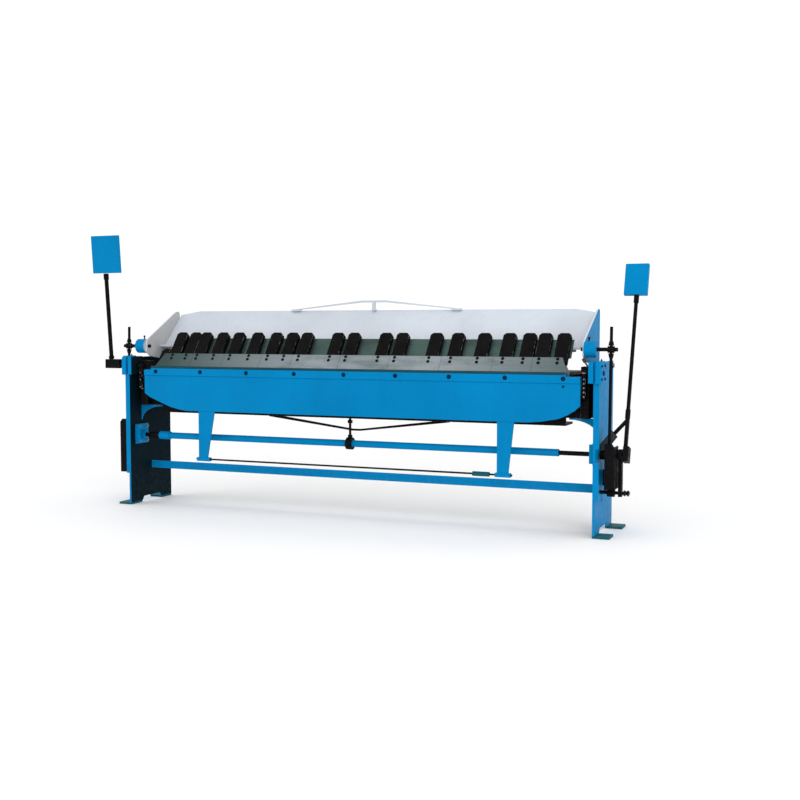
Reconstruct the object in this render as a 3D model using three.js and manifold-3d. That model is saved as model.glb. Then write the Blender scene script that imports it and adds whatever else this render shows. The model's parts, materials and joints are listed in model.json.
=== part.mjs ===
// Hand-operated box-and-pan sheet metal brake (folding machine), 2.5 m class.
// Units are millimetres. X runs along the bend, +Y points to the back, +Z up.
// Everything is modelled in machine coordinates (Y = 0 at the front of the side frames,
// Z = 0 on the floor) and the whole group is shifted at the end so that its origin is the
// centre of the bottom of its bounding box.

import * as THREE from 'three';
import { mergeVertices } from 'three/addons/utils/BufferGeometryUtils.js';
import Module from 'manifold-3d';

const wasm = await Module();
wasm.setup();

// ---------------------------------------------------------------- driving dimensions
const GAP = 0.3;                    // between pieces that touch
const FRAME_OUT = 1409;             // outer face of a side frame, from the middle
const FRAME_IN = 1397;              // inner face of a side frame
const FRAME_DEPTH = 415;            // front to back
const FRAME_TOP = 885;
const FLANGE = 18;                  // outward flange along a frame's front edge
const FOOT = { height: 12, reach: 76, length: 100 };

const BED_Z = 832;                  // working surface
const BED_HALF = 1250;              // half of the bending length
const BED_BOTTOM = 555;
const BED_FRONT = 47;
const BED_BACK = 400;

const PIVOT = { y: 46, z: BED_Z, r: 12 };          // axis of the bending apron
const HINGE = { y: 392, z: 860, r: 12 };           // axis of the clamping beam
const TORQUE = { y: 115, z: 414, r: 12, tube: 19 }; // axis of the clamping shaft
const TRUNNION = { y: 92.5, z: 950, r: 10 };       // pull rods hang from here
const ROD_X = 1464;
const CRANK = { radius: 46, rest: 30 };            // crank pin: degrees below horizontal

const APRON_LEFT = -1298;
const APRON_RIGHT = 1327;
const APRON_BOTTOM = 574;
const BAR_BOTTOM = 778;
const LEG_TIP = 305;

const SLOPE = 54;                   // front of the fingers, degrees from horizontal
const NOSE = { y: 50, z: BED_Z + 1, length: 92, thick: 20, trim: 37 };
const HOLDER = { width: 74, from: 60, to: 248, chamfer: 10 };
const RAIL_BACK = 30;               // finger front face to the rail behind it
const RAIL_HALF = 1245;

const CHEEK_IN = 1322;
const CHEEK_OUT = 1332;

const LEVER = { lean: 17.5, x: 1535, elbow: 185, weightAt: 940 };
const ARM = { lean: -4.5, x: -1557, weightAt: 665 };

// Finger segments from left to right: width, then the two holder centres from its left edge.
const FINGERS = [
  [237, 105, 200], [213, 38, 153], [250, 50, 175], [200, 50, 155], [300, 50, 245],
  [300, 45, 240], [300, 40, 240], [290, 65, 215], [215, 65, 175], [195, 45, 145],
];

// ---------------------------------------------------------------- materials
const finish = (color, roughness, metalness) => (
  new THREE.MeshStandardMaterial({ color, roughness, metalness })
);
const BLUE = () => finish(0x0a86c8, 0.42, 0.0);
const BLACK = () => finish(0x15171a, 0.55, 0.2);
const PALE = () => finish(0xc9d0d8, 0.5, 0.1);
const STEEL = () => finish(0x9aa5a6, 0.35, 0.9);
const DARK_STEEL = () => finish(0x3c4244, 0.45, 0.7);
const TEAL = () => finish(0x1f7f88, 0.45, 0.1);

// ---------------------------------------------------------------- shape helpers
const radians = THREE.MathUtils.degToRad;
const AXIS = {
  x: new THREE.Vector3(1, 0, 0),
  y: new THREE.Vector3(0, 1, 0),
  z: new THREE.Vector3(0, 0, 1),
};

function box(x, y, z) {
  const shape = new THREE.BoxGeometry(x[1] - x[0], y[1] - y[0], z[1] - z[0]);
  return shape.translate((x[0] + x[1]) / 2, (y[0] + y[1]) / 2, (z[0] + z[1]) / 2);
}

function outline(points, holes = []) {
  const shape = new THREE.Shape(points.map(([u, v]) => new THREE.Vector2(u, v)));
  for (const hole of holes) {
    shape.holes.push(new THREE.Path(hole.map(([u, v]) => new THREE.Vector2(u, v))));
  }
  return shape;
}

function extrude(shape, depth, basis, origin) {
  const solid = new THREE.ExtrudeGeometry(shape, {
    depth, bevelEnabled: false, curveSegments: 8,
  });
  solid.applyMatrix4(new THREE.Matrix4().makeBasis(...basis));
  return solid.translate(...origin);
}

// Outline in (Y, Z), extruded from x0 to x1.
function alongX(points, x0, x1, holes = []) {
  return extrude(outline(points, holes), x1 - x0, [AXIS.y, AXIS.z, AXIS.x], [x0, 0, 0]);
}

// Outline in (X, Z), extruded from y0 to y1.
function alongY(points, y0, y1) {
  const back = AXIS.y.clone().negate();
  return extrude(outline(points), y1 - y0, [AXIS.x, AXIS.z, back], [0, y1, 0]);
}

function rod(from, to, radius, sides = 20) {
  const a = new THREE.Vector3(...from);
  const b = new THREE.Vector3(...to);
  const solid = new THREE.CylinderGeometry(radius, radius, a.distanceTo(b), sides);
  const turn = new THREE.Quaternion().setFromUnitVectors(AXIS.y, b.clone().sub(a).normalize());
  solid.applyQuaternion(turn);
  return solid.translate(...a.add(b).multiplyScalar(0.5).toArray());
}

function rodX(x0, x1, y, z, radius, sides = 20) {
  return rod([x0, y, z], [x1, y, z], radius, sides);
}

function toSolid(geometry) {
  const bare = geometry.clone();
  bare.deleteAttribute('normal');
  bare.deleteAttribute('uv');
  const merged = mergeVertices(bare, 1e-3);
  return new wasm.Manifold(new wasm.Mesh({
    numProp: 3,
    vertProperties: new Float32Array(merged.attributes.position.array),
    triVerts: new Uint32Array(merged.index.array),
  }));
}

function toGeometry(solid) {
  const mesh = solid.getMesh();
  const geometry = new THREE.BufferGeometry();
  geometry.setAttribute('position', new THREE.BufferAttribute(mesh.vertProperties, 3));
  geometry.setIndex(new THREE.BufferAttribute(mesh.triVerts, 1));
  geometry.computeVertexNormals();
  return geometry;
}

function join(...shapes) {
  return toGeometry(shapes.map(toSolid).reduce((sum, next) => sum.add(next)));
}

function cut(shape, ...tools) {
  return toGeometry(tools.map(toSolid).reduce((rest, tool) => rest.subtract(tool), toSolid(shape)));
}

function common(a, b) {
  return toGeometry(toSolid(a).intersect(toSolid(b)));
}

// The same shape on the other side of the middle, with its faces turned back outward.
function mirrored(geometry) {
  const copy = geometry.clone().applyMatrix4(new THREE.Matrix4().makeScale(-1, 1, 1));
  const order = copy.index ? copy.index.array : null;
  if (order) {
    for (let i = 0; i < order.length; i += 3) [order[i], order[i + 1]] = [order[i + 1], order[i]];
    return copy;
  }
  const place = copy.attributes.position;
  for (let i = 0; i < place.count; i += 3) {
    const first = [place.getX(i), place.getY(i), place.getZ(i)];
    place.setXYZ(i, place.getX(i + 1), place.getY(i + 1), place.getZ(i + 1));
    place.setXYZ(i + 1, ...first);
  }
  return copy;
}

const machine = new THREE.Group();

function add(name, geometry, material, parent = machine) {
  const mesh = new THREE.Mesh(geometry, material);
  mesh.name = name;
  parent.add(mesh);
  return mesh;
}

// One piece on the right (+X) and its mirror image on the left.
function addPair(name, geometry, material) {
  add(`right_${name}`, geometry, material());
  add(`left_${name}`, mirrored(geometry), material());
}

// ---------------------------------------------------------------- stand
// A pressed plate with a front flange, which on the right is broken where the lever's hub sits.
function sideFrame(besideLever) {
  const notch = { front: 105, back: 315, height: 34, slope: 25 };
  const plate = alongX([
    [0, 0], [notch.front, 0], [notch.front + notch.slope, notch.height],
    [notch.back - notch.slope, notch.height], [notch.back, 0], [FRAME_DEPTH, 0],
    [FRAME_DEPTH, FRAME_TOP], [0, FRAME_TOP],
  ], FRAME_IN, FRAME_OUT);
  const flange = box([FRAME_IN, FRAME_OUT + FLANGE], [0, 10], [190, 779]);
  const hubGap = box([FRAME_OUT, FRAME_OUT + FLANGE + 1], [-1, 11], [385, 452]);
  const foot = (y) => box([FRAME_IN, FRAME_OUT + FOOT.reach], [y, y + FOOT.length], [0, FOOT.height]);
  const pivotPlate = box([FRAME_IN - 24, FRAME_IN + 1], [-15, 95], [782, 889]);
  const slot = box([FRAME_IN - 1, FRAME_OUT + 1], [158, 178], [165, 217]);
  const pivotHole = rodX(FRAME_IN - 25, FRAME_OUT + 1, PIVOT.y, PIVOT.z, PIVOT.r + 0.5);
  const shaftHole = rodX(FRAME_IN - 1, FRAME_OUT + 1, TORQUE.y, TORQUE.z, TORQUE.r + 2);
  const hingeHole = rodX(FRAME_IN - 1, FRAME_OUT + 1, HINGE.y, HINGE.z, HINGE.r + GAP);
  const frame = join(plate, flange, foot(0), foot(FRAME_DEPTH - FOOT.length), pivotPlate);
  const holes = [pivotHole, shaftHole, hingeHole];
  return besideLever ? cut(frame, ...holes, slot, hubGap) : cut(frame, ...holes);
}

function pivotHousing() {
  const size = { front: -20, back: 98, bottom: 780, top: 893, round: 22, width: 28 };
  const steps = 5;
  const corner = (y, z, start) => Array.from({ length: steps + 1 }, (_, i) => {
    const angle = radians(start - (90 * i) / steps);
    return [y + size.round * Math.cos(angle), z + size.round * Math.sin(angle)];
  });
  const block = alongX([
    [size.back, size.bottom],
    [size.front, size.bottom],
    ...corner(size.front + size.round, size.top - size.round, 180),
    ...corner(size.back - size.round, size.top - size.round, 90),
  ].reverse(), FRAME_OUT + GAP, FRAME_OUT + size.width);
  return cut(block, rodX(FRAME_OUT - 1, FRAME_OUT + size.width + 1, PIVOT.y, PIVOT.z, PIVOT.r + 0.5));
}

// Angle plate inside a side frame that carries the clamping shaft.
function shaftBearing() {
  const plate = box([FRAME_IN - 12, FRAME_IN - GAP], [46, 165], [362, 480]);
  const lip = box([FRAME_IN - 30, FRAME_IN - 11], [46, 58], [372, 470]);
  const hub = rodX(FRAME_IN - 34, FRAME_IN - 11, TORQUE.y, TORQUE.z, 27);
  const bore = rodX(FRAME_IN - 35, FRAME_IN, TORQUE.y, TORQUE.z, TORQUE.r + 0.5);
  return cut(join(plate, lip, hub), bore);
}

// Folded cover round the crank: front, outer side and back, open towards the frame.
// The one beside the lever is cut away where the lever swings back.
function crankGuard(besideLever) {
  const front = 40;
  const back = 190;
  const inner = 1447;
  const outer = 1500;
  const wall = 4;
  const bottom = besideLever ? 246 : 190;
  const top = besideLever ? 478 : 512;
  const shell = alongY([
    [inner, bottom], [outer, bottom], [outer, top - 20], [outer - 16, top], [inner, top],
  ], front, back);
  const room = box([inner - 1, outer - wall], [front + wall, back - wall], [bottom - 1, top + 1]);
  const shaftHole = rodX(inner, outer + 1, TORQUE.y, TORQUE.z, TORQUE.r + 3);
  const bracket = box([FRAME_OUT + GAP, inner + 6], [back - wall, back], [bottom, 330]);
  const swing = box([inner - 1, outer + 1], [128, back + 1], [405, top + 1]);
  const tools = besideLever ? [shaftHole, swing] : [shaftHole];
  return cut(join(cut(shell, room), bracket), ...tools);
}

function hingePin() {
  return rodX(CHEEK_IN - 8, FRAME_OUT + 10, HINGE.y, HINGE.z, HINGE.r);
}

// Bracket that carries the outer end of the clamping shaft, held to the frame by a stud.
function outboardBearing() {
  const x0 = 1505;
  const x1 = 1524;
  const studZ = 222;
  const studY = TORQUE.y;
  const boss = rodX(x0, x1, TORQUE.y, TORQUE.z, 32);
  const web = box([x0, x1], [studY - 16, studY + 16], [studZ - 18, TORQUE.z]);
  const stud = rodX(FRAME_OUT + GAP, 1562, studY, studZ, 9);
  const innerBoss = rodX(1449, 1486, studY, studZ, 22);
  const nuts = [1532, 1549].map((x) => rodX(x, x + 10, studY, studZ, 15, 6));
  const bore = rodX(x0 - 1, x1 + 1, TORQUE.y, TORQUE.z, TORQUE.r + 0.5);
  return cut(join(boss, web, stud, innerBoss, ...nuts), bore);
}

function bedBeam() {
  const end = 1317.5;
  const web = 100;
  const raised = { from: 1233, z: 597 };
  const lowered = { from: 1258, z: 790 };
  const beam = alongX([
    [web, BED_BOTTOM], [250, BED_BOTTOM], [250, 567], [web + 12, 567], [web + 12, 815],
    [BED_BACK - 10, 815], [BED_BACK - 10, 740], [BED_BACK, 740], [BED_BACK, BED_Z - GAP],
    [BED_FRONT + 40.3, BED_Z - GAP], [BED_FRONT + 40.3, 815], [web, 815],
  ], -end, end);
  const under = (x0, x1) => box([x0, x1], [web - 1, 251], [BED_BOTTOM - 1, raised.z]);
  const over = (x0, x1) => box([x0, x1], [BED_FRONT, BED_BACK + 1], [lowered.z, BED_Z + 1]);
  return cut(beam, under(raised.from, end + 1), under(-end - 1, -raised.from),
    over(lowered.from, end + 1), over(-end - 1, -lowered.from));
}

function bedEdgeBar() {
  return box([-BED_HALF - 5, BED_HALF + 5], [BED_FRONT, BED_FRONT + 40], [790, BED_Z]);
}

// Block that bolts one end of the bed to its side frame.
function bedBlock() {
  const inner = 1318;
  const front = box([inner, 1360], [62, 141], [598, 862]);
  const side = box([inner, FRAME_IN - GAP], [140, 390], [598, 806]);
  return join(front, side);
}

function bedGusset() {
  const steps = 8;
  const reach = 150;
  const drop = 84;
  const top = 596.5;
  const edge = 588;
  const side = FRAME_IN - GAP;
  const curve = Array.from({ length: steps + 1 }, (_, i) => {
    const angle = radians((90 * i) / steps);
    return [side - reach * (1 - Math.sin(angle)), edge - drop * (1 - Math.cos(angle))];
  });
  return alongY([[side - reach, top], ...curve, [side, top]], 112, 124);
}

function bedTrussRod() {
  const foot = 560;
  const drop = 478;
  const thick = 11;
  const flat = 24;
  return alongY([
    [-foot, BED_BOTTOM - GAP], [-foot, BED_BOTTOM - 12], [-flat, drop], [flat, drop],
    [foot, BED_BOTTOM - 12], [foot, BED_BOTTOM - GAP], [foot - 30, BED_BOTTOM - GAP],
    [flat, drop + thick], [-flat, drop + thick], [-foot + 30, BED_BOTTOM - GAP],
  ], 195, 207);
}

// Hanger that steadies the middle of the clamping shaft from under the bed.
function torqueHanger() {
  const stem = rod([0, TORQUE.y + 2, 446], [0, TORQUE.y + 2, BED_BOTTOM - GAP], 7, 12);
  const nut = rod([0, TORQUE.y + 2, 528], [0, TORQUE.y + 2, 545], 14, 6);
  const bottomNut = rod([0, TORQUE.y + 2, 447], [0, TORQUE.y + 2, 462], 13, 6);
  const collar = rodX(-17, 17, TORQUE.y, TORQUE.z, 34, 24);
  const bore = rodX(-18, 18, TORQUE.y, TORQUE.z, TORQUE.tube + 0.6, 24);
  return cut(join(collar, stem, nut, bottomNut), bore);
}

function tieRail() {
  return alongX([[210, 200], [252, 200], [252, 205], [215, 205], [215, 246], [210, 246]],
    -FRAME_IN + GAP, FRAME_IN - GAP);
}

// ---------------------------------------------------------------- bending apron
function apronPlate() {
  const profile = alongX([
    [11, APRON_BOTTOM - 10], [27, APRON_BOTTOM - 10], [27, 730], [44.5, 748], [44.5, BED_Z],
    [21, BED_Z], [21, BAR_BOTTOM], [11, BAR_BOTTOM],
  ], APRON_LEFT, APRON_RIGHT);
  const shoulder = 812;
  const side = [
    [APRON_RIGHT, shoulder], [BED_HALF, shoulder], [BED_HALF, BED_Z + 1], [-BED_HALF, BED_Z + 1],
    [-BED_HALF, shoulder], [APRON_LEFT, shoulder],
    [APRON_LEFT, 672], [-1261, 649], [-1190, 621], [-1121, 595], [-1065, 582],
    [-1010, APRON_BOTTOM], [1050, APRON_BOTTOM], [1121, 580], [1215, 597], [1261, 617],
    [1300, 641], [APRON_RIGHT, 665],
  ];
  return common(profile, alongY(side, 0, 60));
}

function bendingBar() {
  const shoulder = 811;
  return alongY([
    [APRON_LEFT, BAR_BOTTOM + GAP], [APRON_RIGHT, BAR_BOTTOM + GAP], [APRON_RIGHT, shoulder],
    [BED_HALF, shoulder], [BED_HALF, BED_Z], [-BED_HALF, BED_Z], [-BED_HALF, shoulder],
    [APRON_LEFT, shoulder],
  ], 7, 21 - GAP);
}

// Angle along the back of the apron that keeps it straight.
function apronStiffener() {
  return alongX([[27.3, 640], [75, 640], [75, 670], [69, 670], [69, 646], [27.3, 646]], -1180, 1180);
}

// Leg with a rib behind it and a clamp block at its tip for the tie rod.
function apronLeg(x0, topWidth, tipWidth) {
  const middle = x0 + tipWidth / 2;
  const face = alongY([
    [x0, LEG_TIP], [x0 + tipWidth, LEG_TIP], [x0 + topWidth, APRON_BOTTOM - GAP],
    [x0, APRON_BOTTOM - GAP],
  ], 11, 21);
  const rib = alongX([
    [20, LEG_TIP], [34, LEG_TIP], [60, APRON_BOTTOM - GAP], [20, APRON_BOTTOM - GAP],
  ], middle - 5, middle + 5);
  const block = box([middle - 42, middle + 42], [10, 34], [284, LEG_TIP + 0.5]);
  const bore = rodX(middle - 43, middle + 43, 22, 295, 5.6, 12);
  return cut(join(face, rib, block), bore);
}

// Black arm beside the apron's end, with a foot behind the apron and the pivot shaft.
function apronShaft(outerEnd) {
  const inner = 1330;
  const outer = 1350;
  const reach = 15;                 // the arm's end is round about the pivot
  const bottom = 700;
  const arm = box([inner, outer], [PIVOT.y - reach, PIVOT.y + reach], [bottom, PIVOT.z]);
  const end = rodX(inner, outer, PIVOT.y, PIVOT.z, reach);
  const foot = box([1268, inner + 1], [44.8, PIVOT.y + reach], [bottom, 800]);
  const shaft = rodX(inner + 1, outerEnd, PIVOT.y, PIVOT.z, PIVOT.r);
  return join(arm, end, foot, shaft);
}

function leftApronShaft() {
  const hub = box([-1586, -1486], [PIVOT.y - 27, PIVOT.y + 27], [PIVOT.z - 16, PIVOT.z + 38]);
  return join(mirrored(apronShaft(1500)), hub);
}

function tieRod(x0, x1) {
  return rodX(x0, x1, 22, 295, 5, 12);
}

function turnbuckle() {
  const body = rodX(755, 848, 22, 295, 13, 6);
  return cut(body, rodX(754, 849, 22, 295, 5.6, 12));
}

// ---------------------------------------------------------------- clamping beam
function clampGirder() {
  const skin = [[200, 945], [404, 945], [474, 1150], [462, 1162], [266, 957], [200, 957]];
  const hollow = [[283, 957.5], [448, 1124], [394, 957.5]];
  const taper = { from: 1190, drop: 24, top: 1163, clear: 1170 };
  const beam = alongX(skin, -CHEEK_IN + GAP, CHEEK_IN - GAP, [hollow]);
  const corner = alongY([
    [taper.from, taper.top], [CHEEK_IN, taper.top - taper.drop], [CHEEK_IN, taper.clear],
    [taper.from, taper.clear],
  ], 400, 480);
  return cut(beam, corner, mirrored(corner));
}

// End plate of the clamping beam with its trunnion boss; the right one has an inspection slot.
function beamCheek(slotted) {
  const plate = alongX([
    [72, 918], [110, 890], [186, 878], [345, 868], [364, 838], [416, 838], [424, 846],
    [424, 1148], [412, 1160], [384, 1156], [106, 1003], [78, 984],
  ], CHEEK_IN, CHEEK_OUT);
  const bossEnd = 1392;
  const boss = rodX(CHEEK_OUT - 1, bossEnd, TRUNNION.y, TRUNNION.z, 42, 28);
  const bore = rodX(CHEEK_IN - 1, bossEnd + 1, TRUNNION.y, TRUNNION.z, TRUNNION.r + 0.5);
  const hinge = rodX(CHEEK_IN - 1, CHEEK_OUT + 1, HINGE.y, HINGE.z, HINGE.r + 0.5);
  const slot = box([CHEEK_IN - 1, CHEEK_OUT + 1], [195, 207], [980, 1010]);
  const cheek = cut(join(plate, boss), bore, hinge);
  return slotted ? cut(cheek, slot) : cheek;
}

// Point on the sloping finger front: s up the slope, n out of its face.
function slopePoint(s, n) {
  const c = Math.cos(radians(SLOPE));
  const t = Math.sin(radians(SLOPE));
  return [NOSE.y + s * c - n * t, NOSE.z + s * t + n * c];
}

function fingerRail() {
  const tilt = Math.tan(radians(SLOPE));
  const thick = 17.3;
  const top = 997;
  const bottom = 900;
  const [frontY, frontZ] = slopePoint(225, -RAIL_BACK);
  const face = (z) => frontY - (frontZ - z) / tilt;
  return alongX([
    [face(bottom), bottom], [face(bottom) + thick, bottom], [face(932.7) + thick, 932.7],
    [260, 932.7], [260, 944.7], [face(944.7) + thick, 944.7], [face(top) + thick, top],
    [face(top), top],
  ], -RAIL_HALF, RAIL_HALF);
}

function finger(x0, width, holders, trimSide) {
  const nose = alongX([
    slopePoint(0, 0), [NOSE.y + 52, NOSE.z], slopePoint(NOSE.length, -NOSE.thick),
    slopePoint(NOSE.length, 0),
  ], x0 + GAP / 2, x0 + width - GAP / 2);
  const up = new THREE.Vector3(0, Math.cos(radians(SLOPE)), Math.sin(radians(SLOPE)));
  const out = new THREE.Vector3(0, -Math.sin(radians(SLOPE)), Math.cos(radians(SLOPE)));
  const half = HOLDER.width / 2;
  const [backY, backZ] = slopePoint(0, -RAIL_BACK + GAP);
  const blocks = holders.map((at) => extrude(outline([
    [x0 + at - half, HOLDER.from], [x0 + at + half, HOLDER.from],
    [x0 + at + half, HOLDER.to - HOLDER.chamfer], [x0 + at + half - HOLDER.chamfer, HOLDER.to],
    [x0 + at - half + HOLDER.chamfer, HOLDER.to], [x0 + at - half, HOLDER.to - HOLDER.chamfer],
  ]), RAIL_BACK - GAP - 1, [AXIS.x, up, out], [0, backY, backZ]));
  const whole = join(nose, ...blocks);
  if (!trimSide) return whole;
  const edge = trimSide * BED_HALF;
  const wedge = extrude(outline([
    [edge, -1], [edge + trimSide * 40, -1], [edge + trimSide * 40, NOSE.length + 1],
    [edge - trimSide * NOSE.trim, NOSE.length + 1],
  ]), 80, [AXIS.x, up, out], [0, ...slopePoint(0, -60)]);
  return cut(whole, wedge);
}

// King-post brace along the top of the clamping beam.
function clampTruss() {
  const foot = 540;
  const apex = 75;
  const top = 1218;
  const thick = 12;
  const seat = 1167;
  const pad = [1158.2, seat + 2];
  return join(
    alongY([
      [-foot, seat], [-foot + 60, seat], [-apex, top - thick], [apex, top - thick],
      [foot - 60, seat], [foot, seat], [apex, top], [-apex, top],
    ], 440, 452),
    box([-10, 10], [440, 452], [seat - 2, top - 4]),
    box([-foot, -foot + 60], [440, 458], pad),
    box([foot - 60, foot], [440, 458], pad),
    box([-12, 12], [440, 458], pad),
  );
}

// ---------------------------------------------------------------- clamping linkage
const crankPin = {
  y: TORQUE.y - CRANK.radius * Math.cos(radians(CRANK.rest)),
  z: TORQUE.z - CRANK.radius * Math.sin(radians(CRANK.rest)),
};

function trunnionPin() {
  const pin = rodX(CHEEK_IN - 12, 1498, TRUNNION.y, TRUNNION.z, TRUNNION.r);
  const block = rodX(ROD_X - 17, ROD_X + 17, TRUNNION.y, TRUNNION.z, 17);
  const along = pullRodAxis();
  const hole = rod(along(-40), along(40), 8.4);
  return cut(join(pin, block), hole);
}

// Point on the pull rod's centre line, by its distance above the trunnion.
function pullRodAxis() {
  const top = new THREE.Vector3(ROD_X, TRUNNION.y, TRUNNION.z);
  const up = top.clone().sub(new THREE.Vector3(ROD_X, crankPin.y, crankPin.z)).normalize();
  return (distance) => top.clone().addScaledVector(up, distance).toArray();
}

function pullRod() {
  const along = pullRodAxis();
  const length = Math.hypot(TRUNNION.y - crankPin.y, TRUNNION.z - crankPin.z);
  const shank = rod(along(115), along(-length + 15), 8);
  const eye = rodX(ROD_X - 8, ROD_X + 8, crankPin.y, crankPin.z, 20);
  const hole = rodX(ROD_X - 9, ROD_X + 9, crankPin.y, crankPin.z, 12.8);
  return cut(join(shank, eye), hole);
}

// Conical nut on the pull rod, its wide end facing the trunnion.
function rodNut(distance, height, wide, narrow) {
  const along = pullRodAxis();
  const a = new THREE.Vector3(...along(distance));
  const b = new THREE.Vector3(...along(distance + height));
  const tall = Math.abs(height);
  const nut = new THREE.CylinderGeometry(narrow, wide, tall, 12);
  const direction = b.clone().sub(a).normalize();
  nut.applyQuaternion(new THREE.Quaternion().setFromUnitVectors(AXIS.y, direction));
  nut.translate(...a.add(b).multiplyScalar(0.5).toArray());
  return cut(nut, rod(along(distance - 60), along(distance + 60), 8.3));
}

function torqueShaft() {
  const blueEnd = 1195;
  const tube = rodX(-blueEnd, blueEnd, TORQUE.y, TORQUE.z, TORQUE.tube, 24);
  const shaft = rodX(-1490, 1560, TORQUE.y, TORQUE.z, TORQUE.r, 24);
  const collar = rodX(-1262, -blueEnd + 5, TORQUE.y, TORQUE.z, 24, 24);
  const sleeve = rodX(-1330, -1261, TORQUE.y, TORQUE.z, 18, 24);
  return join(shaft, tube, collar, sleeve);
}

function crank() {
  const x0 = 1442;
  const x1 = 1452;
  const arm = alongX([
    [TORQUE.y + 8, TORQUE.z - 22], [TORQUE.y + 8, TORQUE.z + 22],
    [crankPin.y - 9, crankPin.z + 13], [crankPin.y - 3, crankPin.z - 13],
  ].reverse(), x0, x1);
  const hub = rodX(x0, x1, TORQUE.y, TORQUE.z, 26);
  const end = rodX(x0, x1, crankPin.y, crankPin.z, 16);
  const pin = rodX(x1 - 1, ROD_X + 14, crankPin.y, crankPin.z, 8);
  const head = rodX(ROD_X + 10, ROD_X + 15, crankPin.y, crankPin.z, 14);
  const bore = rodX(x0 - 1, x1 + 1, TORQUE.y, TORQUE.z, TORQUE.r + GAP);
  return cut(join(arm, hub, end, pin, head), bore);
}

// Everything on a leaning arm is made upright about its pivot, then leaned back with it.
function leaningGroup(pivot, lean) {
  const group = new THREE.Group();
  group.position.set(0, pivot.y, pivot.z);
  group.rotation.x = -radians(lean);
  machine.add(group);
  return group;
}

function lever() {
  const innerHub = rodX(FRAME_OUT + 2, 1438, 0, 0, 26);
  const socket = alongY([
    [FRAME_OUT + 2, 0], [1438, 24], [1442, 31], [1489, 99], [1463, 126], [FRAME_OUT + 2, 54],
  ], -15, 15);
  const brace = rod([1470, 0, 107], [LEVER.x, 0, LEVER.elbow], 10, 12);
  const outerHub = box([1529, 1558], [-30, 30], [-34, 44]);
  const post = box([LEVER.x - 8, LEVER.x + 10], [-11, 11], [30, LEVER.elbow + 12]);
  const arm = rod([LEVER.x, 0, LEVER.elbow - 10], [LEVER.x, 0, LEVER.weightAt - 86], 10, 16);
  const bores = rodX(1400, 1560, 0, 0, TORQUE.r + GAP);
  return cut(join(innerHub, socket, brace, outerHub, post, arm), bores);
}

function counterweight(x, width, depth, height, at) {
  return box([x - width / 2, x + width / 2], [-depth / 2, depth / 2],
    [at - height / 2, at + height / 2]);
}

// ---------------------------------------------------------------- assembly
add('right_side_frame', sideFrame(true), BLUE());
add('left_side_frame', mirrored(sideFrame(false)), BLUE());
addPair('pivot_housing', pivotHousing(), BLUE);
addPair('shaft_bearing', shaftBearing(), BLUE);
add('right_crank_guard', crankGuard(true), BLACK());
add('left_crank_guard', mirrored(crankGuard(false)), BLACK());
addPair('beam_hinge_pin', hingePin(), DARK_STEEL);
addPair('bed_block', bedBlock(), BLACK);
addPair('bed_gusset', bedGusset(), BLUE);
add('outboard_bearing', outboardBearing(), BLACK());
add('bed_beam', bedBeam(), BLACK());
add('bed_edge_bar', bedEdgeBar(), STEEL());
add('bed_truss_rod', bedTrussRod(), BLACK());
add('torque_hanger', torqueHanger(), BLACK());
add('tie_rail', tieRail(), BLUE());

add('apron_plate', apronPlate(), BLUE());
add('bending_bar', bendingBar(), BLUE());
add('apron_stiffener', apronStiffener(), BLUE());
add('left_apron_leg', apronLeg(-925, 106, 58), BLUE());
add('right_apron_leg', apronLeg(891, 91, 62), BLUE());
add('right_apron_shaft', apronShaft(FRAME_OUT + 32), BLACK());
add('left_apron_shaft', leftApronShaft(), BLACK());
add('left_tie_rod', tieRod(-948, 795), BLACK());
add('right_tie_rod', tieRod(808, 972), BLACK());
add('turnbuckle', turnbuckle(), TEAL());

const armGroup = leaningGroup(PIVOT, ARM.lean);
const armTop = ARM.weightAt - 112;
add('apron_weight_arm', rod([ARM.x, 0, 39.5], [ARM.x, 0, armTop - 1], 12, 16), BLACK(), armGroup);
add('apron_weight', counterweight(ARM.x + 10, 195, 18, 222, ARM.weightAt), BLUE(), armGroup);

add('clamp_girder', clampGirder(), PALE());
add('right_beam_cheek', beamCheek(true), PALE());
add('left_beam_cheek', mirrored(beamCheek(false)), PALE());
add('finger_rail', fingerRail(), STEEL());
add('clamp_truss', clampTruss(), PALE());
let left = -BED_HALF;
FINGERS.forEach(([width, ...holders], i) => {
  const trimSide = { 0: -1, [FINGERS.length - 1]: 1 }[i];
  const name = `finger_${String(i + 1).padStart(2, '0')}`;
  add(name, finger(left, width, holders, trimSide), STEEL());
  left += width;
});

addPair('trunnion_pin', trunnionPin(), BLACK);
addPair('pull_rod', pullRod(), BLACK);
addPair('clamp_nut', rodNut(20, 22, 15, 11), BLACK);
addPair('lock_nut', rodNut(-20, -24, 15, 10), BLACK);
add('torque_shaft', torqueShaft(), BLUE());
addPair('crank', crank(), BLACK);

const leverGroup = leaningGroup(TORQUE, LEVER.lean);
add('lever', lever(), BLACK(), leverGroup);
add('lever_weight', counterweight(LEVER.x - 5, 122, 30, 170, LEVER.weightAt), BLUE(), leverGroup);

const bounds = new THREE.Box3().setFromObject(machine, true);
const centre = bounds.getCenter(new THREE.Vector3());
machine.position.set(-centre.x, -centre.y, -bounds.min.z);

export default machine;
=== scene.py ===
import json
import math

import bmesh
import bpy
from mathutils import Matrix, Vector


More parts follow.
